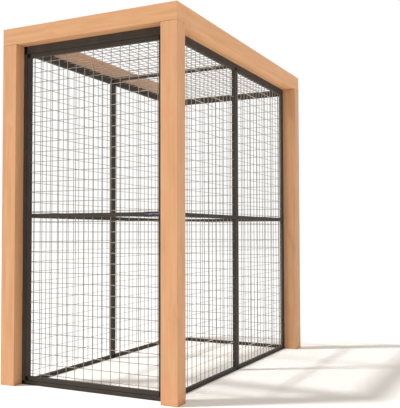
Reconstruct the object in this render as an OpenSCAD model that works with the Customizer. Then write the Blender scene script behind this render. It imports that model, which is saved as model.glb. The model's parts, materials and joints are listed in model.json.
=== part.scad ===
// Walk-in outdoor aviary: a square-timber frame of four posts, a front beam and two side beams, with a
// cage of square steel tube panels inside it. Welded wire mesh closes every panel, black plastic plugs
// join the tubes at the panel corners, and a hinged mesh door with a tower bolt fills the front.
// The origin is on the ground, under the middle of the frame. The front faces -Y and +Z is up.

/* [Timber frame] */
// Height over the top beams
overall_h = 2260; // [2000:1:2600]
// Width over the posts
overall_w = 1245; // [1000:1:1600]
// Depth over the posts
overall_d = 2310; // [1800:1:3000]
// Side of the square posts and beams
timber = 105; // [90:1:140]
// Planed-off edge of the timber, and of its ends
timber_edge = 1; // [0.5:0.5:5]

/* [Steel tube] */
// Side of the square tube
tube = 25; // [22:0.5:32]
// Wall of the tube
tube_wall = 1.5; // [1:0.1:2.5]
// Radius of the tube's outer edges
tube_edge = 1.2; // [1:0.1:4]
// Underside of the middle rails, above the ground
mid_rail_z = 1052; // [800:1:1300]
// Gap where the front and the rear panel of a wall meet
panel_gap = 0.2; // [0.1:0.1:1]

/* [Wire mesh] */
// Thickness of the wire
wire_d = 4.2; // [2:0.1:7]
// Spacing of the wires, middle to middle
mesh_pitch = 63.7; // [45:0.1:90]
// Height of the lowest level wire above the ground
first_wire = 70; // [60:1:90]
// How deep crossing wires are welded into each other
weld_depth = 1; // [0.3:0.1:1.5]
// Least distance from a tube to the middle of the wire beside it
mesh_margin = 10; // [6:1:20]
// Distance of an upright wire from the middle of the door leaf, towards the latch
leaf_offset = 7; // [-30:1:30]
// Distance of an upright wire from the middle of a front wall panel, towards the back
front_offset = -6; // [-30:1:30]
// Distance of an upright wire from the middle of a rear wall panel, towards the back
rear_offset = -24; // [-30:1:30]
// Distance of an upright wire from the middle of the back wall, towards the right
back_offset = 28; // [-30:1:30]
// Distance of a cross wire of the roof from the middle of its bar, towards the back
roof_offset = 29; // [-30:1:30]

/* [Corner plugs] */
// Length of a plug's spigot inside the tube
spigot_l = 25; // [15:1:40]
// Length of the thinner nose at the end of a spigot
nose_l = 5; // [2:1:10]
// How much thinner the nose is, on each side
nose_step = 1; // [0.5:0.5:3]
// Clearance between a spigot and the inside of the tube
spigot_fit = 0.1; // [0.05:0.05:0.3]
// How far a plug's faces lie below the faces of the tube
plug_inset = 0.05; // [0.03:0.01:0.3]

/* [Door and hinges] */
// Gap all round the door leaf
leaf_gap = 3; // [2:0.5:6]
// Distance from the end of the leaf to the middle of a hinge
hinge_inset = 175; // [120:1:300]
// Height of a hinge
hinge_h = 60; // [40:1:100]
// Outer diameter of the knuckles
knuckle_d = 10; // [8:0.5:13]
// Diameter of the hinge pin
pin_d = 5; // [3:0.5:6]
// Diameter of the pin's two heads
pin_head_d = 7.5; // [6.5:0.5:8]
// Thickness of the pin's two heads
pin_head_h = 1; // [0.5:0.5:2]
// Thickness of the hinge leaves
hinge_t = 2; // [1:0.5:3]
// Clearance between the knuckles and the tubes
hinge_clear = 0.5; // [0.3:0.1:1.5]
// Distance from a hinge leaf to the edge of the tube that carries it
hinge_margin = 1; // [0.5:0.5:3]
// Gap between neighbouring knuckles
knuckle_gap = 0.3; // [0.2:0.1:1]
// Running clearance round the pin, on the radius
pin_fit = 0.05; // [0.02:0.01:0.1]

/* [Tower bolt] */
// Diameter of the bolt's rod
rod_d = 10; // [6:0.5:12]
// Length of the rod
rod_l = 94; // [85:1:120]
// Travel of the rod from drawn back to shot
rod_throw = 25; // [20:1:28]
// Distance from the drawn-back rod's tip to the edge of the leaf
rod_back = 8; // [6:0.5:12]
// Clearance round the rod in its guides, on the radius
rod_fit = 0.3; // [0.1:0.05:0.4]
// Clearance between the rod and the back plate
rod_clear = 0.5; // [0.45:0.05:1]
// Diameter of the finger peg
peg_d = 9; // [6:0.5:10]
// Length of the finger peg from the rod's axis
peg_l = 20; // [14:1:30]
// Distance from the rod's tail to the middle of the peg
peg_back = 14; // [8:1:18]
// Thickness of the back plate and of the keeper
plate_t = 2; // [1.5:0.1:3]
// Height of the back plate and of the keeper
plate_h = 30; // [24:1:40]
// Width of each guide along the rod
guide_w = 10; // [6:1:10]
// Wall of the guides round the rod
guide_wall = 2.5; // [1.5:0.5:4]
// How far the drawn-back rod stands out of the last guide
rod_show = 2; // [1:0.5:4]
// Gap between the drawn-back rod and its end stop, and between the peg and a guide
stop_gap = 0.5; // [0.3:0.1:2]
// Length of the back plate beyond the end stop
plate_end = 10; // [5:1:20]
// Distance from the jamb's edge to the keeper's loop
loop_inset = 3; // [1:0.5:4]
// Width of the keeper's loop along the rod
loop_w = 8; // [5:1:10]
// How far the keeper's lip laps over the leaf
lip_lap = 4.5; // [3:0.5:5]
// Clearance between the keeper's lip and the closed leaf
lip_clear = 0.3; // [0.2:0.1:1]

/* [Fasteners] */
// Diameter of the screws that fix the cage to the timber
screw_d = 5; // [4:0.5:7]
// Diameter of their pan heads
screw_head_d = 9; // [8:0.5:12]
// Height of their pan heads
screw_head_h = 3; // [2:0.5:5]
// How deep they bite into the timber
screw_bite = 45; // [30:1:60]
// Room round a screw head in its access hole, on the radius
head_room = 1; // [0.5:0.5:3]
// Depth of the hexagon sockets in the screw heads
socket_h = 1.6; // [0.8:0.1:1.8]
// Clearance round every screw and bolt, on the radius
screw_fit = 0.05; // [0.03:0.01:0.2]
// Diameter of the long screws through the beams
beam_screw_d = 8; // [6:0.5:10]
// Diameter of their heads
beam_head_d = 14; // [12:0.5:18]
// Height of their heads
beam_head_h = 5; // [3:0.5:7]
// Depth of the counterbore for their heads
beam_sink = 8; // [7:0.5:15]
// How deep they bite into the posts
beam_bite = 80; // [50:1:120]
// Diameter of the self-drilling screws at the cage's corners
join_d = 4.8; // [4:0.2:6]
// Diameter of their heads
join_head_d = 9.5; // [8:0.5:12]
// Height of their heads
join_head_h = 3.5; // [2:0.5:5]
// How far they reach into the second tube
join_bite = 12; // [6:1:18]
// Diameter of the bolts that clamp the wall panels together
bolt_d = 6; // [5:0.5:8]
// Width of their hexagons over the corners
hex_d = 11.5; // [10:0.5:15]
// Height of their heads
bolt_head_h = 4; // [3:0.5:6]
// Height of their nuts
nut_h = 5; // [3:0.5:7]
// How far a bolt stands out of its nut
bolt_end = 2; // [1:0.5:5]

/* [Hidden] */

wood = "burlywood";
steel = "#4a423c";
wire_grey = "#8a8682";
plastic = "#15151a";
zinc = "#8f8a94";

// Outer faces of the timber frame
left = -overall_w/2;
right = overall_w/2;
front = -overall_d/2;
rear = overall_d/2;
// Undersides of the beams, of the roof panel, and of the top rails of the walls
beam_z = overall_h - timber;
roof_z = beam_z - tube;
top_z = roof_z - tube;
// Outer faces of the steel cage, whose front and back lie flush with the inner faces of the posts
cage_l = left + timber;
cage_r = right - timber;
cage_f = front + timber - tube;
cage_b = rear - timber + tube;
// Faces between which the side walls and all meshes of the cage's width run
inner_l = cage_l + tube;
inner_r = cage_r - tube;
wall_f = cage_f + tube;
wall_b = cage_b - tube;
// The two panels of a side wall, from front to back
wall_panels = [[wall_f, -panel_gap/2], [panel_gap/2, wall_b]];
// Outer edges of the door leaf
leaf_l = inner_l + leaf_gap;
leaf_r = inner_r - leaf_gap;
leaf_b = tube + leaf_gap;
leaf_t = top_z - leaf_gap;
// Inner edge radius of the tube
tube_inner_edge = max(tube_edge - tube_wall, 0.3);

// Axis and heights of the hinges
hinge_x = inner_l + hinge_clear + knuckle_d/2;
hinge_y = wall_f + hinge_clear + knuckle_d/2;
hinge_reach = tube - knuckle_d/2 - hinge_clear - hinge_margin;
hinge_zs = [leaf_b + hinge_inset, (leaf_b + leaf_t)/2, leaf_t - hinge_inset];
knuckle_h = (hinge_h - 2*knuckle_gap)/3;

// Places of the tower bolt's features along X, and its axis
rod_tip = leaf_r - rod_back;
rod_tail = rod_tip - rod_l;
peg_x = rod_tail + peg_back;
first_guide = peg_x + peg_d/2 + rod_throw + stop_gap;
last_guide = rod_tip - rod_show - guide_w;
end_stop = rod_tail - stop_gap - guide_w;
latch_z = mid_rail_z + tube/2;
rod_y = cage_f - plate_t - rod_clear - rod_d/2;

// Rows of the mesh, and the rows after which screws and bolts sit, clear of the level wires
top_row = floor((top_z - first_wire)/mesh_pitch);
mid_row = floor((mid_rail_z - first_wire)/mesh_pitch);
fix_rows = [1, mid_row - 5, mid_row + 6, top_row - 1];
join_rows = [2, mid_row - 2, top_row - 2];
edge_column = floor((inner_r - mesh_margin)/mesh_pitch);
roof_columns = [-edge_column + 1.5, -1.5, 1.5, edge_column - 1.5];
back_columns = [-edge_column + 0.5, -2.5, 1.5, edge_column - 1.5];

// Height midway between the level wire of a row and the next one
function between(row) = first_wire + (row + 0.5)*mesh_pitch;
// Places of the wires that fit across an opening, a whole number of pitches from start
function places(low, high, start) =
    [for (k = [ceil((low + mesh_margin - start)/mesh_pitch):floor((high - mesh_margin - start)/mesh_pitch)])
        start + k*mesh_pitch];
// Heights of the level wires in an opening, the same all round the cage
function levels(low, high) = places(low, high, first_wire);

// Turns +Z to the given direction along one axis
module along(dir) {
  rotate([dir.z < 0 ? 180 : -90*dir.y, 90*dir.x, 0]) children();
}

// Square with its corners planed off
module eased_square(side, edge) {
  a = side/2;
  b = a - edge;
  polygon([[-b, -a], [b, -a], [a, -b], [a, b], [b, a], [-b, a], [-a, b], [-a, -b]]);
}

module rounded_square(side, edge) {
  square([side - 2*edge, side], center = true);
  square([side, side - 2*edge], center = true);
  for (x = [-1, 1], y = [-1, 1])
    translate([x*(side/2 - edge), y*(side/2 - edge)]) circle(r = edge, $fn = 32);
}

// Length of square tube on +Z, centred on the axis
module tube_length(l) {
  linear_extrude(l) difference() {
    rounded_square(tube, tube_edge);
    rounded_square(tube - 2*tube_wall, tube_inner_edge);
  }
}

module upright(x, y, z0, z1) {
  translate([x + tube/2, y + tube/2, z0]) tube_length(z1 - z0);
}

module rail_x(x0, x1, y, z) {
  translate([x0, y + tube/2, z + tube/2]) along([1, 0, 0]) tube_length(x1 - x0);
}

module rail_y(y0, y1, x, z) {
  translate([x + tube/2, y0, z + tube/2]) along([0, 1, 0]) tube_length(y1 - y0);
}

// Length of wire on +Z, a hexagon with two of its edges towards the crossing wires
module wire(l) {
  rotate(30) cylinder(h = l, d = wire_d, $fn = 6);
}

// Welded mesh in the XZ plane: uprights on the -Y side of it and level wires on the +Y side,
// pressed into each other where they cross
module net(x0, x1, z0, z1, xs, zs) {
  shift = (wire_d - weld_depth)/2;
  for (x = xs) translate([x, -shift, z0]) wire(z1 - z0);
  for (z = zs) translate([x0, shift, z]) along([1, 0, 0]) wire(x1 - x0);
}

// Block on +Z whose two ends have their edges planed off on its left and right
module eased_ends(l) {
  a = timber/2;
  b = a - timber_edge;
  translate([0, a, 0]) rotate([90, 0, 0]) linear_extrude(timber)
    polygon([[-b, 0], [b, 0], [a, timber_edge], [a, l - timber_edge],
             [b, l], [-b, l], [-a, l - timber_edge], [-a, timber_edge]]);
}

// Post or beam of a given section on +Z, with its ends eased so that the joints show as fine grooves
module timber_length(l) {
  intersection() {
    linear_extrude(l) children();
    eased_ends(l);
    rotate(90) eased_ends(l);
  }
}

module post(x, y) {
  color(wood) difference() {
    translate([x + timber/2, y + timber/2, 0]) timber_length(beam_z) eased_square(timber, timber_edge);
    at_beam_screws() screw_way(beam_screw_d, beam_screw_l, beam_head_d);
    at_jamb_screws(x < 0 ? -1 : 1, y < 0 ? cage_f : wall_b) screw_way(screw_d, jamb_screw_l, screw_head_d);
  }
}

// Section of a beam, whose inner lower edge is left sharp to close tightly on the roof panel
module beam_section() {
  a = timber/2;
  b = a - timber_edge;
  polygon([[-b, -a], [b, -a], [a, -b], [a, a], [-b, a], [-a, b], [-a, -b]]);
}

// Beam along +X with its outer face at y = 0. Its inner face is shorter by the mitre at either end, or
// by nothing where that end is sawn square
module beam(l, mitre_start, mitre_end) {
  intersection() {
    translate([0, timber/2, timber/2]) along([1, 0, 0]) timber_length(l) beam_section();
    linear_extrude(timber) polygon([[0, 0], [l, 0], [l - mitre_end, timber], [mitre_start, timber]]);
  }
}

// Front beam, mitred at both ends
module beam_front() {
  color(wood) difference() {
    translate([left, front, beam_z]) beam(overall_w, timber, timber);
    at_beam_screws() screw_way(beam_screw_d, beam_screw_l, beam_head_d);
    at_roof_screws() screw_way(screw_d, roof_screw_l, screw_head_d);
  }
}

// Side beams, mitred at the front and sawn square over the rear posts
module beam_left() {
  color(wood) difference() {
    translate([left, rear, beam_z]) rotate(-90) beam(overall_d, 0, timber);
    at_beam_screws() screw_way(beam_screw_d, beam_screw_l, beam_head_d);
  }
}

module beam_right() {
  color(wood) difference() {
    translate([right, front, beam_z]) rotate(90) beam(overall_d, timber, 0);
    at_beam_screws() screw_way(beam_screw_d, beam_screw_l, beam_head_d);
  }
}

// Pan-head screw with its shank on -Z and its head standing on z = 0, driven by a hexagon socket
module screw(d, l, head_d, head_h) {
  difference() {
    cylinder(h = head_h, d = head_d, $fn = 32);
    translate([0, 0, head_h - socket_h]) cylinder(h = socket_h + 1, d = head_d/2, $fn = 6);
  }
  translate([0, 0, -l + d]) cylinder(h = l - d, d = d, $fn = 32);
  translate([0, 0, -l]) cylinder(h = d, d1 = 0.3*d, d2 = d, $fn = 32);
}

// Hole for such a screw, with the access hole that lets its head through the tube or timber above
module screw_way(d, l, head_d) {
  through_hole(d, l);
  cylinder(h = tube, d = head_d + 2*head_room, $fn = 32);
}

// Clearance hole from a screw's seat through to depth l, run past both faces
module through_hole(d, l) {
  translate([0, 0, -l - screw_fit]) cylinder(h = l + 2*screw_fit, d = d + 2*screw_fit, $fn = 32);
}

beam_screw_l = timber - beam_sink + beam_bite;
jamb_screw_l = tube_wall + screw_bite;
roof_screw_l = tube_wall + tube + screw_bite;
join_screw_l = tube + join_bite;

// Two screws down into each post, at the front one through each of the two mitred beams
module at_beam_screws() {
  for (sx = [-1, 1], sy = [-1, 1], third = [1, 2])
    translate([sx*(right - third*timber/3), sy*(rear - (3 - third)*timber/3), overall_h - beam_sink])
      children();
}

// Screws from a jamb or back stile into the post beside it, their heads inside the tube
module at_jamb_screws(side, y) {
  for (row = fix_rows)
    translate([side*(cage_r - tube_wall), y + tube/2, between(row)]) along([-side, 0, 0]) children();
}

// Screws up through the door frame's head and the roof panel into the front beam
module at_roof_screws() {
  for (column = roof_columns)
    translate([column*mesh_pitch, cage_f + tube/2, roof_z - tube_wall]) along([0, 0, -1]) children();
}

// Screws up through the back wall's top rail into the roof panel, between the wires of the back mesh
module at_back_screws() {
  for (column = back_columns)
    translate([back_offset + column*mesh_pitch, wall_b + tube/2, top_z]) along([0, 0, -1]) children();
}

// Screws from the side walls' end stiles into the jamb (end -1) or the back stile (end 1)
module at_panel_screws(side, end) {
  for (row = join_rows)
    translate([side*(cage_r - tube/2), end < 0 ? wall_f + tube : wall_b - tube, between(row)])
      along([0, -end, 0]) children();
}

// Bolts along Y through the two middle stiles of a side wall, heads at the front
module at_panel_bolts(side) {
  for (row = join_rows)
    translate([side*(cage_r - tube/2), -panel_gap/2 - tube, between(row)]) along([0, -1, 0]) children();
}

// Tube of the door frame or back wall that stands beside a post, drilled for both kinds of screw
module post_side_tube(side, end) {
  y = end < 0 ? cage_f : wall_b;
  color(steel) difference() {
    upright(side < 0 ? cage_l : inner_r, y, tube, top_z);
    at_jamb_screws(side, y) screw_way(screw_d, jamb_screw_l, screw_head_d);
    at_panel_screws(side, end) screw_way(join_d, join_screw_l, join_head_d);
  }
}

module hinge_jamb() { post_side_tube(-1, -1); }

module latch_jamb() { post_side_tube(1, -1); }

// Head of the door frame, drilled from below for the roof screws
module frame_head() {
  color(steel) difference() {
    rail_x(inner_l, inner_r, cage_f, top_z);
    at_roof_screws() screw_way(screw_d, roof_screw_l, screw_head_d);
  }
}

module frame_sill() { color(steel) rail_x(inner_l, inner_r, cage_f, 0); }

module leaf_stile(x) {
  color(steel) upright(x, cage_f, leaf_b + tube, leaf_t - tube);
}

module leaf_rail(z) {
  color(steel) rail_x(leaf_l + tube, leaf_r - tube, cage_f, z);
}

module leaf_net(z0, z1) {
  x0 = leaf_l + tube;
  x1 = leaf_r - tube;
  xs = places(x0, x1, leaf_offset);
  color(wire_grey) translate([0, cage_f + tube/2, 0]) net(x0, x1, z0, z1, xs, levels(z0, z1));
}

// End stile of a side wall at its front (end -1) or back (end 1)
module wall_end_stile(side, end) {
  x = side < 0 ? cage_l : inner_r;
  color(steel) difference() {
    upright(x, end < 0 ? wall_f : wall_b - tube, tube, top_z);
    at_panel_screws(side, end) through_hole(join_d, tube);
  }
}

// The two stiles that are bolted together in the middle of a side wall
module wall_mid_stiles(side) {
  x = side < 0 ? cage_l : inner_r;
  color(steel) difference() {
    for (y = [-panel_gap/2 - tube, panel_gap/2]) upright(x, y, tube, top_z);
    at_panel_bolts(side) through_hole(bolt_d, 2*tube + panel_gap);
  }
}

module wall_rails(side, z) {
  x = side < 0 ? cage_l : inner_r;
  for (panel = wall_panels) color(steel) rail_y(panel[0] + tube, panel[1] - tube, x, z);
}

// Mesh of one wall panel, above and below its middle rail
module wall_net(side, panel, offset) {
  y0 = panel[0] + tube;
  y1 = panel[1] - tube;
  ys = places(y0, y1, (y0 + y1)/2 + offset);
  color(wire_grey) translate([side*(cage_r - tube/2), 0, 0]) rotate(90) {
    net(y0, y1, tube, mid_rail_z, ys, levels(tube, mid_rail_z));
    net(y0, y1, mid_rail_z + tube, top_z, ys, levels(mid_rail_z + tube, top_z));
  }
}

module back_rail(z) { color(steel) rail_x(inner_l, inner_r, wall_b, z); }

module back_top_rail() {
  difference() {
    back_rail(top_z);
    at_back_screws() through_hole(join_d, tube);
  }
}

module back_mesh() {
  xs = places(inner_l, inner_r, back_offset);
  color(wire_grey) translate([0, wall_b + tube/2, 0]) {
    net(inner_l, inner_r, tube, mid_rail_z, xs, levels(tube, mid_rail_z));
    net(inner_l, inner_r, mid_rail_z + tube, top_z, xs, levels(mid_rail_z + tube, top_z));
  }
}

module roof_end_rail(y) { color(steel) rail_x(inner_l, inner_r, y, roof_z); }

module roof_front_rail() {
  difference() {
    roof_end_rail(cage_f);
    at_roof_screws() through_hole(screw_d, tube_wall + tube);
  }
}

module roof_rear_rail() {
  difference() {
    roof_end_rail(wall_b);
    at_back_screws() through_hole(join_d, join_screw_l);
  }
}

module roof_side_rail(x) { color(steel) rail_y(wall_f, wall_b, x, roof_z); }

module roof_mid_bar() { color(steel) rail_x(inner_l, inner_r, -tube/2, roof_z); }

// Mesh of the roof, in front of and behind its middle bar
module roof_mesh() {
  xs = places(inner_l, inner_r, 0);
  for (bay = [[wall_f, -tube/2], [tube/2, wall_b]])
    color(wire_grey) translate([0, 0, roof_z + tube/2]) rotate([-90, 0, 0])
      net(inner_l, inner_r, bay[0], bay[1], xs, places(bay[0], bay[1], roof_offset));
}

// Spigot of a corner plug, from the middle of the plug into a tube
module spigot(dir) {
  side = tube - 2*tube_wall - 2*spigot_fit;
  along(dir) {
    linear_extrude(tube/2 + spigot_l) eased_square(side, tube_inner_edge);
    linear_extrude(tube/2 + spigot_l + nose_l) eased_square(side - 2*nose_step, tube_inner_edge);
  }
}

module corner_plug(dir_a, dir_b) {
  color(plastic) translate([tube/2, tube/2, tube/2]) {
    cube(tube - 2*plug_inset, center = true);
    spigot(dir_a);
    spigot(dir_b);
  }
}

// Plugs in the four corners of a panel that lies along the directions u and v
module panel_plugs(low, u, size_u, v, size_v) {
  for (i = [0, 1], j = [0, 1])
    translate(low + i*(size_u - tube)*u + j*(size_v - tube)*v) corner_plug((1 - 2*i)*u, (1 - 2*j)*v);
}

module corner_plugs() {
  cage_w = cage_r - cage_l;
  for (y = [cage_f, wall_b]) panel_plugs([cage_l, y, 0], [1, 0, 0], cage_w, [0, 0, 1], roof_z);
  for (x = [cage_l, inner_r], panel = wall_panels)
    panel_plugs([x, panel[0], 0], [0, 1, 0], panel[1] - panel[0], [0, 0, 1], roof_z);
  panel_plugs([cage_l, cage_f, roof_z], [1, 0, 0], cage_w, [0, 1, 0], cage_b - cage_f);
}

module leaf_corner_plugs() {
  panel_plugs([leaf_l, cage_f, leaf_b], [1, 0, 0], leaf_r - leaf_l, [0, 0, 1], leaf_t - leaf_b);
}

// Knuckle of a hinge, from height z0 above the hinge's lower end
module knuckle(z0) {
  translate([0, 0, z0]) cylinder(h = knuckle_h, d = knuckle_d, $fn = 48);
}

module pin_bore() {
  translate([0, 0, -1]) cylinder(h = hinge_h + 2, d = pin_d + 2*pin_fit, $fn = 48);
}

// Clears the ring of a neighbour's knuckle, from height z0 up
module knuckle_notch(z0) {
  translate([0, 0, z0 - knuckle_gap])
    cylinder(h = knuckle_h + 2*knuckle_gap, d = knuckle_d + 2*knuckle_gap, $fn = 48);
}

module at_hinges() {
  for (z = hinge_zs) translate([hinge_x, hinge_y, z - hinge_h/2]) children();
}

// Hinge leaves on the side wall's front stile, with the top and bottom knuckles
module hinge_frame_leaves() {
  color(steel) at_hinges() difference() {
    union() {
      knuckle(0);
      knuckle(2*(knuckle_h + knuckle_gap));
      difference() {
        translate([inner_l - hinge_x, 0, 0]) cube([hinge_t, hinge_reach, hinge_h]);
        knuckle_notch(knuckle_h + knuckle_gap);
      }
    }
    pin_bore();
  }
}

// Hinge leaves on the back of the door's hinge stile, with the middle knuckles
module hinge_door_leaves() {
  color(steel) at_hinges() difference() {
    union() {
      knuckle(knuckle_h + knuckle_gap);
      difference() {
        translate([0, wall_f - hinge_y, 0]) cube([hinge_reach, hinge_t, hinge_h]);
        knuckle_notch(0);
        knuckle_notch(2*(knuckle_h + knuckle_gap));
      }
    }
    pin_bore();
  }
}

module hinge_pins() {
  color(zinc) at_hinges() {
    cylinder(h = hinge_h, d = pin_d, $fn = 48);
    for (z = [-pin_head_h, hinge_h]) translate([0, 0, z]) cylinder(h = pin_head_h, d = pin_head_d, $fn = 48);
  }
}

// Block that wraps the rod and stands on the plate behind it, from x along +X
module rod_guide(x, w) {
  d = rod_d + 2*rod_fit + 2*guide_wall;
  foot = rod_d/2 + rod_clear;
  translate([x, rod_y, latch_z]) {
    intersection() {
      along([1, 0, 0]) cylinder(h = w, d = d, $fn = 48);
      translate([0, -d/2, -d/2]) cube([w, d/2 + foot, d]);
    }
    translate([0, 0, -d/2]) cube([w, foot, d]);
  }
}

module rod_bore(x, l) {
  translate([x, rod_y, latch_z]) along([1, 0, 0]) cylinder(h = l, d = rod_d + 2*rod_fit, $fn = 48);
}

module latch_plate() {
  plate_x = end_stop - plate_end;
  color(zinc) difference() {
    union() {
      translate([plate_x, cage_f - plate_t, latch_z - plate_h/2]) cube([rod_tip - plate_x, plate_t, plate_h]);
      rod_guide(end_stop, guide_w);
      rod_guide(first_guide, guide_w);
      rod_guide(last_guide, guide_w);
    }
    rod_bore(end_stop + guide_w, rod_tip - end_stop);
  }
}

// Rod and finger peg, drawn back from the keeper
module latch_bolt() {
  color(zinc) {
    translate([rod_tail, rod_y, latch_z]) along([1, 0, 0]) cylinder(h = rod_l, d = rod_d, $fn = 48);
    translate([peg_x, rod_y, latch_z]) along([0, -1, 0]) {
      cylinder(h = peg_l - peg_d/2, d = peg_d, $fn = 48);
      translate([0, 0, peg_l - peg_d/2]) sphere(d = peg_d, $fn = 48);
    }
  }
}

// Keeper on the latch jamb: a loop for the rod, and a lip that stops the leaf from swinging out
module latch_keeper() {
  loop_x = inner_r + loop_inset;
  color(zinc) difference() {
    union() {
      translate([inner_r, cage_f - plate_t, latch_z - plate_h/2]) cube([tube, plate_t, plate_h]);
      translate([leaf_r - lip_lap, cage_f - plate_t, latch_z - plate_h/2])
        cube([lip_lap + leaf_gap, plate_t - lip_clear, plate_h]);
      rod_guide(loop_x, loop_w);
    }
    rod_bore(loop_x - 1, loop_w + 2);
  }
}

module beam_screws() {
  color(zinc) at_beam_screws() screw(beam_screw_d, beam_screw_l, beam_head_d, beam_head_h);
}

module frame_screws() {
  color(zinc) {
    for (side = [-1, 1], y = [cage_f, wall_b])
      at_jamb_screws(side, y) screw(screw_d, jamb_screw_l, screw_head_d, screw_head_h);
    at_roof_screws() screw(screw_d, roof_screw_l, screw_head_d, screw_head_h);
  }
}

module panel_screws() {
  color(zinc) {
    for (side = [-1, 1], end = [-1, 1])
      at_panel_screws(side, end) screw(join_d, join_screw_l, join_head_d, join_head_h);
    at_back_screws() screw(join_d, join_screw_l, join_head_d, join_head_h);
  }
}

module panel_bolts() {
  l = 2*tube + panel_gap + nut_h + bolt_end;
  color(zinc) for (side = [-1, 1]) at_panel_bolts(side) {
    cylinder(h = bolt_head_h, d = hex_d, $fn = 6);
    translate([0, 0, -l]) cylinder(h = l, d = bolt_d, $fn = 32);
  }
}

module panel_nuts() {
  color(zinc) for (side = [-1, 1]) at_panel_bolts(side) {
    translate([0, 0, -2*tube - panel_gap - nut_h]) difference() {
      cylinder(h = nut_h, d = hex_d, $fn = 6);
      translate([0, 0, -1]) cylinder(h = nut_h + 2, d = bolt_d + 2*screw_fit, $fn = 32);
    }
  }
}

post(left, front);  // post_front_left
post(right - timber, front);  // post_front_right
post(left, rear - timber);  // post_rear_left
post(right - timber, rear - timber);  // post_rear_right
beam_front();
beam_left();
beam_right();
frame_head();
frame_sill();
hinge_jamb();
latch_jamb();
leaf_stile(leaf_l);  // leaf_hinge_stile
leaf_stile(leaf_r - tube);  // leaf_latch_stile
leaf_rail(leaf_t - tube);  // leaf_top_rail
leaf_rail(mid_rail_z);  // leaf_mid_rail
leaf_rail(leaf_b);  // leaf_bottom_rail
leaf_net(mid_rail_z + tube, leaf_t - tube);  // leaf_upper_mesh
leaf_net(leaf_b + tube, mid_rail_z);  // leaf_lower_mesh
wall_end_stile(-1, -1);  // left_front_stile
wall_mid_stiles(-1);  // left_mid_stiles
wall_end_stile(-1, 1);  // left_rear_stile
wall_rails(-1, top_z);  // left_top_rails
wall_rails(-1, mid_rail_z);  // left_mid_rails
wall_rails(-1, 0);  // left_bottom_rails
wall_net(-1, wall_panels[0], front_offset);  // left_front_mesh
wall_net(-1, wall_panels[1], rear_offset);  // left_rear_mesh
wall_end_stile(1, -1);  // right_front_stile
wall_mid_stiles(1);  // right_mid_stiles
wall_end_stile(1, 1);  // right_rear_stile
wall_rails(1, top_z);  // right_top_rails
wall_rails(1, mid_rail_z);  // right_mid_rails
wall_rails(1, 0);  // right_bottom_rails
wall_net(1, wall_panels[0], front_offset);  // right_front_mesh
wall_net(1, wall_panels[1], rear_offset);  // right_rear_mesh
post_side_tube(-1, 1);  // back_left_stile
post_side_tube(1, 1);  // back_right_stile
back_top_rail();
back_rail(mid_rail_z);  // back_mid_rail
back_rail(0);  // back_bottom_rail
back_mesh();
roof_front_rail();
roof_rear_rail();
roof_side_rail(cage_l);  // roof_left_rail
roof_side_rail(inner_r);  // roof_right_rail
roof_mid_bar();
roof_mesh();
corner_plugs();
leaf_corner_plugs();
hinge_frame_leaves();
hinge_door_leaves();
hinge_pins();
latch_plate();
latch_bolt();
latch_keeper();
beam_screws();
frame_screws();
panel_bolts();
panel_nuts();
panel_screws();
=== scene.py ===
import bpy, json, math
from mathutils import Euler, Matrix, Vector


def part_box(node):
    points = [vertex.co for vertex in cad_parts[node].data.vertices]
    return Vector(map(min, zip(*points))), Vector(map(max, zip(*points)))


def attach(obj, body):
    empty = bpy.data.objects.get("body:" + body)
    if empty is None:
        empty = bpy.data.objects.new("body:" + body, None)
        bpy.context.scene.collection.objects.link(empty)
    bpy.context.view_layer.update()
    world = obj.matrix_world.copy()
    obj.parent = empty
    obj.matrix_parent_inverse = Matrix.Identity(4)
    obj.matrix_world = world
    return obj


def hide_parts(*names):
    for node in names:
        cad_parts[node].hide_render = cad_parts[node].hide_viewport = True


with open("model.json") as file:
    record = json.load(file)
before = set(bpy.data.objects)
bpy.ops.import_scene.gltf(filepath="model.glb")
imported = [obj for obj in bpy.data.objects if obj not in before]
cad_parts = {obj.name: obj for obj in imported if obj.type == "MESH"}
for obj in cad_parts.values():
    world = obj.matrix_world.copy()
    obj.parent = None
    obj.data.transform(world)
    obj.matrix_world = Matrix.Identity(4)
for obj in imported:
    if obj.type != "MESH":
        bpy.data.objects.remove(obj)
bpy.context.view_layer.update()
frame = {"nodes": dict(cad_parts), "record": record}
nodes = frame["nodes"]

# Camera
# It stands off the front right corner at waist height, turned to the left, and looks slightly up. The
# photograph is cropped off its lens axis, so the picture is shifted to the right.
camera_place = (2.3767, -4.6955, 0.9589)
camera_turn = math.radians(28.23)
camera_tilt = math.radians(2.378)
sensor_width = 36
focal_pixels = 713.0
picture_height = 408
picture_middle = (200, 204)
axis_right, axis_down = 153.92, 202.77

camera_data = bpy.data.cameras.new("camera")
camera_data.sensor_width = sensor_width
camera_data.lens = focal_pixels * sensor_width / picture_height
camera_data.shift_x = (picture_middle[0] - axis_right) / picture_height
camera_data.shift_y = (axis_down - picture_middle[1]) / picture_height
camera = bpy.data.objects.new("camera", camera_data)
camera.location = camera_place
camera.rotation_euler = (math.radians(90) + camera_tilt, 0, camera_turn)
bpy.context.scene.collection.objects.link(camera)
bpy.context.scene.camera = camera


# Timber posts and beams
# Planed and oiled softwood, 105 mm square, screwed together through the beams, with its grain along each
# length. Every stick has its pith in another place, so the growth rings run differently over each one, and
# a few small knots show.
def material(name):
    """A new material with nodes, and its surface shader."""
    made = bpy.data.materials.new(name)
    made.use_nodes = True
    return made, made.node_tree.nodes["Principled BSDF"]


def link(made, value, socket):
    made.node_tree.links.new(value, socket)


def node(made, kind, settings=None, **inputs):
    """A node of one kind: settings are its options, and inputs are values or sockets to link."""
    new = made.node_tree.nodes.new("ShaderNode" + kind)
    for key, value in (settings or {}).items():
        setattr(new, key, value)
    for key, value in inputs.items():
        socket = new.inputs[int(key[1:])] if key[0] == "_" else new.inputs[key.replace("_", " ")]
        if isinstance(value, bpy.types.NodeSocket):
            link(made, value, socket)
        else:
            socket.default_value = value
    return new


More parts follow.
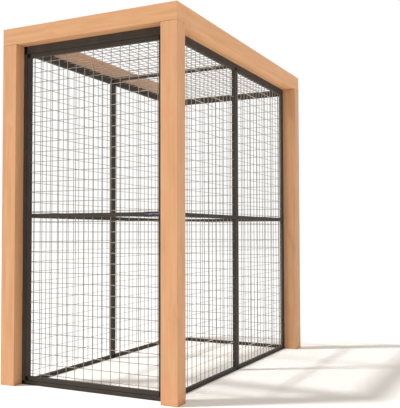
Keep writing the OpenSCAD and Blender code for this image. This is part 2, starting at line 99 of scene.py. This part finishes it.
def reckoned(made, operation, *values):
    """What a Math node makes of its values."""
    inputs = {f"_{number}": value for number, value in enumerate(values)}
    return node(made, "Math", dict(operation=operation), **inputs).outputs[0]


def ranged(made, value, low, high, first=0.0, last=1.0):
    """A value between low and high, brought between first and last."""
    return node(made, "MapRange", Value=value, _1=low, _2=high, _3=first, _4=last).outputs["Result"]


def noise(made, coords, scale, detail, **more):
    """Cloudy noise, which lies mostly between noise_low and noise_high."""
    return node(made, "TexNoise", Vector=coords, Scale=scale, Detail=detail, **more).outputs["Fac"]


def stretched(made, coords, along):
    """Coordinates that pass slowly along the grain, so that a pattern on them is drawn out."""
    return node(made, "Mapping", Vector=coords, Scale=(1, 1, along)).outputs["Vector"]


def colours(made, fac, *stops):
    """A colour ramp through stops of (place, red, green, blue)."""
    ramp = node(made, "ValToRGB", Fac=fac)
    for place, *colour in stops[1:-1]:
        ramp.color_ramp.elements.new(place)
    for element, (place, *colour) in zip(ramp.color_ramp.elements, stops):
        element.position = place
        element.color = (*colour, 1)
    return ramp.outputs["Color"]


def mixed(made, fac, first, second, blend="MIX"):
    """Two colours mixed."""
    settings = dict(data_type="RGBA", blend_type=blend)
    return node(made, "Mix", settings, _0=fac, _6=first, _7=second).outputs[2]


def raise_grain(made, shader, height, strength, depth):
    """Gives a surface its fine relief."""
    bump = node(made, "Bump", Strength=strength, Distance=depth, Height=height).outputs["Normal"]
    link(made, bump, shader.inputs["Normal"])


noise_low, noise_high = 0.3, 0.7
timber_light = (0.72, 0.402, 0.212)
timber_mid = (0.68, 0.371, 0.188)
timber_dark = (0.635, 0.336, 0.166)
timber_pink = (0.71, 0.35, 0.19)
knot_colour = (0.6, 0.31, 0.155)
# A dark band at each post's top, under the beam: partly end grain darkened by oil, partly painted shadow of
# the joint's gap.
joint_stain_and_shadow = (0.36, 0.15, 0.07)
# Painted light and shade: the right beam's colour is lightened where more light falls, and the rear right
# post's is darkened for the cage's shade.
stick_light_and_shade = {"beam_right": (1.1, 1.09, 1.06), "post_rear_right": (0.94, 0.96, 0.99)}
joint_start, joint_full = 0.0035, 0.002
knot_scale, knot_edge, knot_rim = 4.5, 0.03, 0.075
swirl_edge, swirl_rim, swirl_reach = 0.02, 0.3, 0.02
drift_scale, drift_stretch, drift_reach = 3.5, 0.25, 0.05
ring_scale, ring_waver, ring_share = 52.0, 0.8, 0.16
fibre_scale, fibre_stretch, fibre_share = 420.0, 0.02, 0.3
streak_scale, streak_stretch = 38.0, 0.07
patch_scale, patch_low, patch_high, patch_share = 6.0, 0.5, 0.72, 0.8
timber_sheen, timber_rough, fibre_rough = 0.3, 0.62, 0.5
fibre_relief, grain_strength, grain_depth = 0.5, 0.35, 0.0004


def timber(name, grain, pith_offset):
    """Softwood with its grain along one axis and its pith beside the stick."""
    made, shader = material("timber_" + name)
    low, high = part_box(name)
    turn = Euler(grain_turns[grain])
    pith = (low + high) / 2 + turn.to_matrix().inverted() @ Vector((*pith_offset, 0))
    place = -(turn.to_matrix() @ pith)
    coords = node(made, "TexCoord").outputs["Object"]
    aligned = node(made, "Mapping", Vector=coords, Location=place, Rotation=turn).outputs["Vector"]
    drawn = stretched(made, aligned, drift_stretch)
    drift = node(made, "TexNoise", Vector=drawn, Scale=drift_scale, Detail=2.0).outputs["Color"]
    drift = node(made, "VectorMath", dict(operation="SUBTRACT"), _0=drift, _1=(0.5, 0.5, 0.5)).outputs[0]
    drift = node(made, "VectorMath", dict(operation="SCALE"), _0=drift, Scale=drift_reach).outputs[0]
    bent = node(made, "VectorMath", dict(operation="ADD"), _0=aligned, _1=drift).outputs[0]

    knots = node(made, "TexVoronoi", Vector=aligned, Scale=knot_scale).outputs["Distance"]
    knot = ranged(made, knots, knot_edge, knot_rim, 1.0, 0.0)
    swirl = ranged(made, knots, swirl_edge, swirl_rim, swirl_reach, 0.0)
    bent = node(made, "VectorMath", dict(operation="ADD"), _0=bent, _1=swirl).outputs[0]

    rings = node(made, "TexWave", dict(wave_type="RINGS", rings_direction="Z", wave_profile="SIN"),
                 Vector=bent, Scale=ring_scale, Distortion=ring_waver, Detail=1.0,
                 Detail_Scale=1.0).outputs["Fac"]
    fibre = noise(made, stretched(made, bent, fibre_stretch), fibre_scale, 3.0, Roughness=0.7)
    streak = noise(made, stretched(made, bent, streak_stretch), streak_scale, 3.0)
    patch = noise(made, aligned, patch_scale, 3.0)

    colour = colours(made, streak, (0.3, *timber_dark), (0.48, *timber_mid), (0.68, *timber_light))
    blush = ranged(made, patch, patch_low, patch_high, 0.0, patch_share)
    colour = mixed(made, blush, colour, (*timber_pink, 1))
    shade = colours(made, rings, (0.0, 1, 1, 1), (0.6, 0.99, 0.98, 0.97), (1.0, 0.86, 0.8, 0.74))
    colour = mixed(made, ring_share, colour, shade, "MULTIPLY")
    flecks = colours(made, fibre, (0.3, 0.88, 0.84, 0.8), (0.6, 1, 1, 1))
    colour = mixed(made, fibre_share, colour, flecks, "MULTIPLY")
    colour = mixed(made, knot, colour, (*knot_colour, 1))
    # Paints light onto the right beam and shade onto the rear right post.
    if name in stick_light_and_shade:
        colour = mixed(made, 1.0, colour, (*stick_light_and_shade[name], 1), "MULTIPLY")
    # Darkens a post's top end: partly stained end grain, partly painted shadow of the joint.
    if grain == "z":
        height = node(made, "SeparateXYZ", Vector=coords).outputs["Z"]
        joint = ranged(made, height, high.z - joint_start, high.z - joint_full)
        colour = mixed(made, joint, colour, (*joint_stain_and_shadow, 1))
    link(made, colour, shader.inputs["Base Color"])

    rough = ranged(made, fibre, noise_low, noise_high, timber_rough, fibre_rough)
    link(made, rough, shader.inputs["Roughness"])
    shader.inputs["Specular IOR Level"].default_value = timber_sheen
    raised = reckoned(made, "MULTIPLY_ADD", fibre, fibre_relief, rings)
    raise_grain(made, shader, raised, grain_strength, grain_depth)
    return made


def dress(obj, made):
    """Gives an object its finish."""
    obj.data.materials.clear()
    obj.data.materials.append(made)


quarter = math.radians(90)
grain_turns = {"x": (0, -quarter, 0), "y": (quarter, 0, 0), "z": (0, 0, 0)}
sticks = (("post_front_left", "z", (0.11, 0.04)), ("post_front_right", "z", (-0.09, 0.08)),
          ("post_rear_left", "z", (0.06, -0.12)), ("post_rear_right", "z", (-0.12, -0.03)),
          ("beam_front", "x", (0.03, 0.13)), ("beam_left", "y", (0.12, -0.06)),
          ("beam_right", "y", (-0.13, 0.05)))
for name, grain, pith_offset in sticks:
    dress(nodes[name], timber(name, grain, pith_offset))


# Square steel tube
# The door frame, the leaf, and the wall and roof panels are 25 mm tube, plugged at the corners and welded
# at the middle rails. A dull powder coat of dark brown grey covers them, with the faint orange peel of
# sprayed powder.
coat_dark = (0.06, 0.052, 0.044)
coat_light = (0.07, 0.061, 0.052)
peel_depth, tube_sheen, tube_rough = 0.00004, 0.05, 0.6
cloud_scale, peel_scale, peel_strength = 9.0, 650.0, 0.5
cloud_rough = 0.05


def powder_coat(name, dark, light, peel, sheen, rough):
    """A sprayed coat with faint clouds of colour; sheen is its specular level."""
    made, shader = material(name)
    coords = node(made, "TexCoord").outputs["Object"]
    cloud = noise(made, coords, cloud_scale, 4.0)
    link(made, colours(made, cloud, (0.35, *dark), (0.7, *light)), shader.inputs["Base Color"])
    uneven = ranged(made, cloud, noise_low, noise_high, rough + cloud_rough, rough - cloud_rough)
    link(made, uneven, shader.inputs["Roughness"])
    shader.inputs["Specular IOR Level"].default_value = sheen
    raise_grain(made, shader, noise(made, coords, peel_scale, 2.0), peel_strength, peel)
    return made


tube_coat = powder_coat("tube_powder_coat", coat_dark, coat_light, peel_depth, tube_sheen, tube_rough)
for part in frame["record"]["subparts"]:
    if part["material_slot"] == "steel_tube":
        dress(nodes[part["node"]], tube_coat)


# Welded wire mesh
# Round steel wires in two layers, spot-welded where they cross, which end at the tubes round each opening.
# Their coat is a warm mid grey. The side walls' level wires have painted light, a paler coat that is
# strongest low down and left off near the stiles. The leaf's uprights lie on its outer side.
right, back, up = Vector((1, 0, 0)), Vector((0, 1, 0)), Vector((0, 0, 1))
wire_radius = 0.0021
wire_sides = 10
wire_pitch = 0.0637
lowest_wire = 0.07
wire_margin = 0.010
weld_depth = 0.001
nugget_radius = wire_radius * 1.2
wire_finish = ((0.295, 0.262, 0.225), (0.355, 0.318, 0.273), 0.00003, 0.4, 0.45)
wire_coat = powder_coat("wire_coat", *wire_finish)
# The side walls' wire coat, with painted light on its level wires.
wall_coat_painted_light = powder_coat("wall_wire_coat_painted_light", *wire_finish)
# Painted light: the paler colour of the side walls' level wires, and how much of it shows low and high.
level_light_colour = (0.76, 0.72, 0.67)
level_light_low, level_light_high = (0.5, 0.95), (1.6, 0.45)
# Reach beside each stile where the level wires get no painted light and keep the darker coat.
unlit_end = 0.03


def paint_level_light(made, lit_colour):
    """Paints light on a side wall's level wires as a paler coat, most of all low down, but not near the
    stiles.
    """
    shader = made.node_tree.nodes["Principled BSDF"]
    coat = shader.inputs["Base Color"].links[0].from_socket
    coords = node(made, "TexCoord").outputs["Object"]
    across, along, height = node(made, "SeparateXYZ", Vector=coords).outputs
    low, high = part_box("right_front_mesh")
    side = reckoned(made, "SIGN", across)
    edge = reckoned(made, "MULTIPLY_ADD", side, (low.x + high.x) / 2, weld_depth / 2)
    layer = reckoned(made, "LESS_THAN", across, edge)
    above = reckoned(made, "SUBTRACT", height, lowest_wire)
    away = reckoned(made, "PINGPONG", above, wire_pitch / 2)
    level = reckoned(made, "LESS_THAN", away, wire_radius)
    share = ranged(made, height, level_light_low[0], level_light_high[0], level_light_low[1], level_light_high[1])
    level = reckoned(made, "MULTIPLY", reckoned(made, "MULTIPLY", level, share), layer)
    for stile in ("right_mid_stiles", "right_rear_stile"):
        near = reckoned(made, "COMPARE", along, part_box(stile)[0].y, unlit_end)
        level = reckoned(made, "MULTIPLY", level, reckoned(made, "SUBTRACT", 1.0, near))
    link(made, mixed(made, level, coat, (*lit_colour, 1)), shader.inputs["Base Color"])


paint_level_light(wall_coat_painted_light, level_light_colour)


def activate(obj):
    bpy.ops.object.select_all(action="DESELECT")
    obj.select_set(True)
    bpy.context.view_layer.objects.active = obj


def settle(obj):
    """Puts obj's place, turn and size into its mesh."""
    activate(obj)
    bpy.ops.object.transform_apply(location=True, rotation=True, scale=True)


def repeat(obj, step, count):
    """Copies obj in a row, count in all, each a step further."""
    row = obj.modifiers.new("row", "ARRAY")
    row.use_relative_offset = False
    row.use_constant_offset = True
    row.constant_offset_displace = step
    row.count = count
    activate(obj)
    bpy.ops.object.modifier_apply(modifier=row.name)


def joined(name, objs):
    """One piece made of several meshes."""
    activate(objs[0])
    for obj in objs:
        obj.select_set(True)
    if len(objs) > 1:
        bpy.ops.object.join()
    objs[0].name = name
    objs[0].data.name = name
    return objs[0]


def small_ball(radius, place):
    """A ball with few faces, for nuggets and beads."""
    bpy.ops.object.select_all(action="DESELECT")
    bpy.ops.mesh.primitive_ico_sphere_add(subdivisions=1, radius=radius, location=place)
    ball = bpy.context.object
    bpy.ops.object.shade_smooth()
    settle(ball)
    return ball


def wires(start, direction, length, step, count):
    """A row of round wires."""
    turn = direction.to_track_quat("Z", "Y").to_euler()
    bpy.ops.object.select_all(action="DESELECT")
    bpy.ops.mesh.primitive_cylinder_add(vertices=wire_sides, radius=wire_radius, depth=length,
                                        location=start + direction * length / 2, rotation=turn)
    wire = bpy.context.object
    bpy.ops.object.shade_smooth_by_angle(angle=math.radians(50))
    settle(wire)
    repeat(wire, step, count)
    return wire


def mesh_sheet(corner, across, width, upward, height, columns, rows, facing):
    """Uprights at the columns on the facing side, cross wires at the rows behind, and a nugget per weld."""
    out = facing * (wire_radius - weld_depth / 2)
    sideways, upwards = across * wire_pitch, upward * wire_pitch
    uprights = wires(corner + across * columns[0] + out, upward, height, sideways, len(columns))
    levels = wires(corner + upward * rows[0] - out, across, width, upwards, len(rows))
    nugget = small_ball(nugget_radius, corner + across * columns[0] + upward * rows[0])
    repeat(nugget, sideways, len(columns))
    repeat(nugget, upwards, len(rows))
    return joined("mesh_sheet", [uprights, levels, nugget])


def places(low, high, start):
    """Places of the wires that fit across an opening, from its lower edge."""
    first = math.ceil((low + wire_margin - start) / wire_pitch)
    last = math.floor((high - wire_margin - start) / wire_pitch)
    return [start + k * wire_pitch - low for k in range(first, last + 1)]


def finish_mesh(name, sheets, body, coat):
    piece = joined(name + "_wires", sheets)
    dress(piece, coat)
    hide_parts(name)
    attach(piece, body)


leaf_offset = 0.007
for name in ("leaf_lower_mesh", "leaf_upper_mesh"):
    low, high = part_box(name)
    corner = Vector((low.x, (low.y + high.y) / 2, low.z))
    columns = places(low.x, high.x, leaf_offset)
    rows = places(low.z, high.z, lowest_wire)
    net = mesh_sheet(corner, right, high.x - low.x, up, high.z - low.z, columns, rows, -back)
    finish_mesh(name, [net], "door", wire_coat)

front_offset, rear_offset, back_offset = -0.006, -0.024, 0.028
rail_low, rail_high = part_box("back_mid_rail")
walls = (("left_front_mesh", back, right, front_offset, wall_coat_painted_light),
         ("left_rear_mesh", back, right, rear_offset, wall_coat_painted_light),
         ("right_front_mesh", back, right, front_offset, wall_coat_painted_light),
         ("right_rear_mesh", back, right, rear_offset, wall_coat_painted_light),
         ("back_mesh", right, -back, back_offset, wire_coat))
for name, across, facing, offset, coat in walls:
    low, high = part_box(name)
    start, end = low.dot(across), high.dot(across)
    columns = places(start, end, (start + end) / 2 + offset)
    halves = []
    for bottom, top in ((low.z, rail_low.z), (rail_high.z, high.z)):
        corner = (low + high) / 2 - across * (end - start) / 2
        corner.z = bottom
        rows = places(bottom, top, lowest_wire)
        halves.append(mesh_sheet(corner, across, end - start, up, top - bottom, columns, rows, facing))
    finish_mesh(name, halves, "frame", coat)

roof_offset = 0.029
low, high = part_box("roof_mesh")
bar_low, bar_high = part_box("roof_mid_bar")
columns = places(low.x, high.x, 0)
bays = []
for start, end in ((low.y, bar_low.y), (bar_high.y, high.y)):
    corner = Vector((low.x, start, (low.z + high.z) / 2))
    rows = places(start, end, roof_offset)
    bays.append(mesh_sheet(corner, right, high.x - low.x, back, end - start, columns, rows, up))
finish_mesh("roof_mesh", bays, "frame", wire_coat)


# Weld beads of the middle rails
# Where a middle rail or the roof's bar meets a stile or rail it has no plug but is welded all round, with a
# small rippled bead under the same coat as the tubes.
tube_side = 0.025
bead_radius = 0.0016
bead_reach = tube_side * 0.38
ripple = 0.0013


def weld_ring(name, end, axis):
    """Four beads round the joint of a tube whose end has its middle at end."""
    beads = []
    sides = [side for side in (right, back, up) if abs(side.dot(axis)) < 0.5]
    for side, along in (sides, sides[::-1]):
        for sign in (-1, 1):
            bead = small_ball(bead_radius, end + side * sign * tube_side / 2 - along * bead_reach)
            repeat(bead, along * ripple, round(2 * bead_reach / ripple) + 1)
            beads.append(bead)
    return joined(name, beads)


def finish_welds(name, ends, body):
    piece = joined(name, [weld_ring(name, end, axis) for end, axis in ends])
    dress(piece, tube_coat)
    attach(piece, body)


def both_ends(node_name, axis):
    low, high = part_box(node_name)
    middle, reach = (low + high) / 2, (high - low).dot(axis) / 2
    return [(middle - axis * reach, axis), (middle + axis * reach, axis)]


finish_welds("leaf_welds", both_ends("leaf_mid_rail", right), "door")
frame_ends = both_ends("back_mid_rail", right) + both_ends("roof_mid_bar", right)
for side in ("left", "right"):
    outer = both_ends(side + "_mid_rails", back)
    height = outer[0][0].z
    stiles = both_ends(side + "_mid_stiles", back)
    frame_ends += outer + [(Vector((end.x, end.y, height)), axis) for end, axis in stiles]
finish_welds("frame_welds", frame_ends, "frame")


# Corner plugs
# Black moulded plastic cubes with softly rounded edges, which stand between the tubes at every panel
# corner. Their two spigots are pushed into the tubes, where they can't be seen.
plug_dark, plug_light = (0.0015, 0.0015, 0.0015), (0.004, 0.004, 0.004)
plug_rough, plug_sheen = 0.7, 0.15
speckle_scale, speckle_strength, speckle_depth = 900.0, 0.4, 0.00005
plug_rounding = 0.0006

plug_plastic, shader = material("plug_plastic")
coords = node(plug_plastic, "TexCoord").outputs["Object"]
speckle = noise(plug_plastic, coords, speckle_scale, 2.0)
tint = colours(plug_plastic, speckle, (noise_low, *plug_dark), (noise_high, *plug_light))
link(plug_plastic, tint, shader.inputs["Base Color"])
shader.inputs["Roughness"].default_value = plug_rough
shader.inputs["Specular IOR Level"].default_value = plug_sheen
raise_grain(plug_plastic, shader, speckle, speckle_strength, speckle_depth)


def softened(node_name, width, made, body):
    """A copy of a CAD node with its sharp edges rounded, which stands for the node."""
    piece = bpy.data.objects.new(node_name + "_softened", nodes[node_name].data.copy())
    bpy.context.scene.collection.objects.link(piece)
    activate(piece)
    bpy.ops.object.mode_set(mode="EDIT")
    bpy.ops.mesh.select_all(action="SELECT")
    bpy.ops.mesh.remove_doubles(threshold=0.00001)
    bpy.ops.mesh.dissolve_limited(angle_limit=math.radians(1))
    bpy.ops.object.mode_set(mode="OBJECT")
    rounding = piece.modifiers.new("rounding", "BEVEL")
    rounding.width = width
    rounding.segments = 2
    rounding.limit_method = "ANGLE"
    rounding.angle_limit = math.radians(40)
    bpy.ops.object.modifier_apply(modifier=rounding.name)
    bpy.ops.object.shade_smooth_by_angle(angle=math.radians(35))
    dress(piece, made)
    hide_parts(node_name)
    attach(piece, body)


softened("corner_plugs", plug_rounding, plug_plastic, "frame")
softened("leaf_corner_plugs", plug_rounding, plug_plastic, "door")


# Fasteners
# Zinc-plated screws into the timber, and black ones, with the bolts and nuts, on the dark panels. The small
# screws of the hinges, the latch plate and the keeper have low domed heads with a hexagon socket.
spangle_scale, scuff_scale = 70.0, 900.0
scuff_rough, scuff_strength, scuff_depth = 0.12, 0.3, 0.00003


def plated(name, dark, light, metallic, rough):
    """A plated finish with a faint cloudy spangle and fine scuffs."""
    made, shader = material(name)
    coords = node(made, "TexCoord").outputs["Object"]
    spangle = noise(made, coords, spangle_scale, 4.0)
    scuffs = noise(made, coords, scuff_scale, 2.0)
    tint = colours(made, spangle, (noise_low, *dark), (noise_high, *light))
    link(made, tint, shader.inputs["Base Color"])
    shader.inputs["Metallic"].default_value = metallic
    uneven = ranged(made, scuffs, noise_low, noise_high, rough, rough + scuff_rough)
    link(made, uneven, shader.inputs["Roughness"])
    raise_grain(made, shader, scuffs, scuff_strength, scuff_depth)
    return made


bright_zinc = plated("bright_zinc", (0.42, 0.42, 0.45), (0.56, 0.56, 0.58), 0.9, 0.3)
black_zinc = plated("black_zinc", (0.02, 0.02, 0.021), (0.038, 0.037, 0.038), 0.3, 0.45)
for name in ("hinge_pins", "beam_screws", "frame_screws"):
    dress(nodes[name], bright_zinc)
for name in ("panel_bolts", "panel_nuts", "panel_screws"):
    dress(nodes[name], black_zinc)


head_sides, dome_share = 24, 0.8
socket_sides, socket_share, socket_lift = 6, 0.48, 0.85


def screw_head(radius, height):
    """A low domed head standing on the origin, with a hexagon socket."""
    bpy.ops.object.select_all(action="DESELECT")
    bpy.ops.mesh.primitive_cylinder_add(vertices=head_sides, radius=radius, depth=2 * height)
    head = bpy.context.object
    dome = head.modifiers.new("dome", "BEVEL")
    dome.width = height * dome_share
    dome.segments = 3
    dome.limit_method = "ANGLE"
    dome.angle_limit = math.radians(60)
    bpy.ops.object.modifier_apply(modifier=dome.name)
    bpy.ops.object.select_all(action="DESELECT")
    bpy.ops.mesh.primitive_cylinder_add(vertices=socket_sides, radius=radius * socket_share,
                                        depth=height, location=(0, 0, height * socket_lift))
    socket = bpy.context.object
    settle(socket)
    cut = head.modifiers.new("socket", "BOOLEAN")
    cut.object = socket
    cut.operation = "DIFFERENCE"
    activate(head)
    bpy.ops.object.modifier_apply(modifier=cut.name)
    bpy.data.objects.remove(socket)
    bpy.ops.object.shade_smooth_by_angle(angle=math.radians(40))
    return head


def screws(name, spots, facing, size, body, made):
    """A group of small screws at several spots, facing one way; size is their heads' radius and height."""
    heads = [screw_head(*size)]
    for _ in spots[1:]:
        copy = bpy.data.objects.new(name, heads[0].data.copy())
        bpy.context.scene.collection.objects.link(copy)
        heads.append(copy)
    for head, spot in zip(heads, spots):
        head.rotation_euler = facing.to_track_quat("Z", "Y").to_euler()
        head.location = spot
        settle(head)
    piece = joined(name, heads)
    dress(piece, made)
    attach(piece, body)


# Butt hinges
# Three coated steel hinges on the back of the hinge stile. One leaf of each is screwed to the door and the
# other to the side wall's front stile, with three screws a leaf, and a plated pin runs through the knuckles.
hinge_axis = Vector((-0.487, -1.0445, 0))
hinge_middles = (0.203, 1.065, 1.927)
hinge_thickness = 0.002
hinge_rounding, hinge_sheen, hinge_rough = 0.0003, 0.2, 0.5
hinge_screw = (0.0034, 0.0011)
hinge_screw_reach = 0.0125
hinge_screw_gap = 0.021

hinge_coat = powder_coat("hinge_powder_coat", coat_dark, coat_light, peel_depth, hinge_sheen, hinge_rough)
softened("hinge_frame_leaves", hinge_rounding, hinge_coat, "frame")
softened("hinge_door_leaves", hinge_rounding, hinge_coat, "door")

screw_heights = [middle + gap for middle in hinge_middles for gap in (-hinge_screw_gap, 0, hinge_screw_gap)]
frame_screw_place = (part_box("hinge_frame_leaves")[0].x + hinge_thickness, hinge_axis.y + hinge_screw_reach)
door_screw_place = (hinge_axis.x + hinge_screw_reach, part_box("hinge_door_leaves")[0].y + hinge_thickness)
for name, place, facing, body in (("hinge_frame_screws", frame_screw_place, right, "frame"),
                                  ("hinge_door_screws", door_screw_place, back, "door")):
    screws(name, [Vector((*place, height)) for height in screw_heights], facing, hinge_screw, body,
           bright_zinc)


# Tower bolt
# A plate with three guides is screwed to the leaf's middle rail, and the rod slides through them into the
# keeper on the jamb. All are plated a dark purple grey; the rod is a lighter grey all over, a painted
# highlight of its round top.
rail_middle = 1.0645
plate_thickness = 0.002
plate_rounding, keeper_rounding, rod_rounding = 0.0004, 0.0003, 0.0008
plate_screw, keeper_screw = (0.0027, 0.001), (0.003, 0.001)
plate_screw_spots = ((0.372, 0), (0.412, -0.0072), (0.412, 0.0072), (0.4555, -0.0072), (0.4555, 0.0072))
keeper_screw_spots = ((0.5115, -0.009), (0.5115, 0.009))

dark_plate = plated("dark_plate", (0.028, 0.023, 0.029), (0.055, 0.046, 0.057), 0.35, 0.38)
# The rod's lighter plating is a painted highlight.
rod_painted_highlight = plated("rod_painted_highlight", (0.12, 0.108, 0.124), (0.22, 0.2, 0.226), 0.6, 0.3)
softened("latch_plate", plate_rounding, dark_plate, "door")
softened("latch_keeper", keeper_rounding, dark_plate, "frame")
softened("latch_bolt", rod_rounding, rod_painted_highlight, "bolt")

plate_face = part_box("latch_keeper")[1].y - plate_thickness
for name, spots, size, body in (("latch_plate_screws", plate_screw_spots, plate_screw, "door"),
                                ("latch_keeper_screws", keeper_screw_spots, keeper_screw, "frame")):
    screws(name, [Vector((x, plate_face, rail_middle + z)) for x, z in spots], -back, size, body, dark_plate)


# Floor, light and background
# A pale floor keeps the object's soft shadow at its right side, and is plain white for the camera beside
# and behind it. The light is a soft sun from the front left, a reflector board on the floor, which lights
# the undersides, and a sky that is white to look at.
floor_side = 60
floor_colour, floor_rough, floor_sheen = (0.98, 0.968, 0.935, 1), 0.9, 0.1
lift_colour, lift_strength = (1, 0.98, 0.94, 1), 0.1
shadow_start, shadow_slope = 0.57, 0.684
behind_start, behind_full = 1.22, 1.7
beside_start, beside_full = -0.65, -0.85
paper_strength = 1.08

bpy.ops.object.select_all(action="DESELECT")
bpy.ops.mesh.primitive_plane_add(size=floor_side, location=(0, 0, 0))
floor = bpy.context.object
floor.name = "floor"
floor_paint, shader = material("floor_paint")
shader.inputs["Base Color"].default_value = floor_colour
shader.inputs["Roughness"].default_value = floor_rough
shader.inputs["Specular IOR Level"].default_value = floor_sheen
direct = node(floor_paint, "LightPath").outputs["Is Camera Ray"]
lift = reckoned(floor_paint, "MULTIPLY", direct, lift_strength)
glow = node(floor_paint, "Emission", Color=lift_colour, Strength=lift)
shaded = node(floor_paint, "AddShader", _0=shader.outputs[0], _1=glow.outputs[0])
coords = node(floor_paint, "TexCoord").outputs["Object"]
across, along, _ = node(floor_paint, "SeparateXYZ", Vector=coords).outputs
outside = reckoned(floor_paint, "MAXIMUM", reckoned(floor_paint, "SUBTRACT", across, shadow_start), 0.0)
line = reckoned(floor_paint, "MULTIPLY_ADD", outside, -shadow_slope, along)
behind = ranged(floor_paint, line, behind_start, behind_full)
beside = ranged(floor_paint, across, beside_start, beside_full)
clear = reckoned(floor_paint, "MULTIPLY", direct, reckoned(floor_paint, "MAXIMUM", behind, beside))
paper = node(floor_paint, "Emission", Strength=paper_strength)
surface = node(floor_paint, "MixShader", Fac=clear, _1=shaded.outputs[0], _2=paper.outputs[0])
link(floor_paint, surface.outputs[0], floor_paint.node_tree.nodes["Material Output"].inputs["Surface"])
floor.data.materials.append(floor_paint)

sun_direction = Vector((0.98, 0.67, -2.21))
sun_data = bpy.data.lights.new("sun", "SUN")
sun_data.energy = 2.65
sun_data.angle = math.radians(5)
sun = bpy.data.objects.new("sun", sun_data)
sun.rotation_euler = sun_direction.to_track_quat("-Z", "Y").to_euler()
bpy.context.scene.collection.objects.link(sun)

board_side = 12.0
board_strength = 0.22
board_height = 0.004
board_data = bpy.data.lights.new("reflector_board", "AREA")
board_data.size = board_side
board_data.energy = board_strength * math.pi * board_side ** 2
board_data.color = (1, 0.97, 0.93)
board = bpy.data.objects.new("reflector_board", board_data)
board.location = (0, 0, board_height)
board.rotation_euler = (math.pi, 0, 0)
board.visible_camera = False
board.visible_glossy = False
bpy.context.scene.collection.objects.link(board)

world = bpy.data.worlds.new("sky")
world.use_nodes = True
bpy.context.scene.world = world
sky = world.node_tree.nodes["Background"]
sky.inputs["Color"].default_value = (1, 0.95, 0.9, 1)
sky.inputs["Strength"].default_value = 0.5
white = node(world, "Background", Color=(1, 1, 1, 1), Strength=1.0)
rays = node(world, "LightPath").outputs
seen = reckoned(world, "MAXIMUM", rays["Is Camera Ray"], rays["Is Glossy Ray"])
seen = reckoned(world, "MAXIMUM", seen, rays["Is Transmission Ray"])
backdrop = node(world, "MixShader", Fac=seen, _1=sky.outputs[0], _2=white.outputs[0])
link(world, backdrop.outputs[0], world.node_tree.nodes["World Output"].inputs["Surface"])
bpy.context.scene.view_settings.view_transform = "Standard"
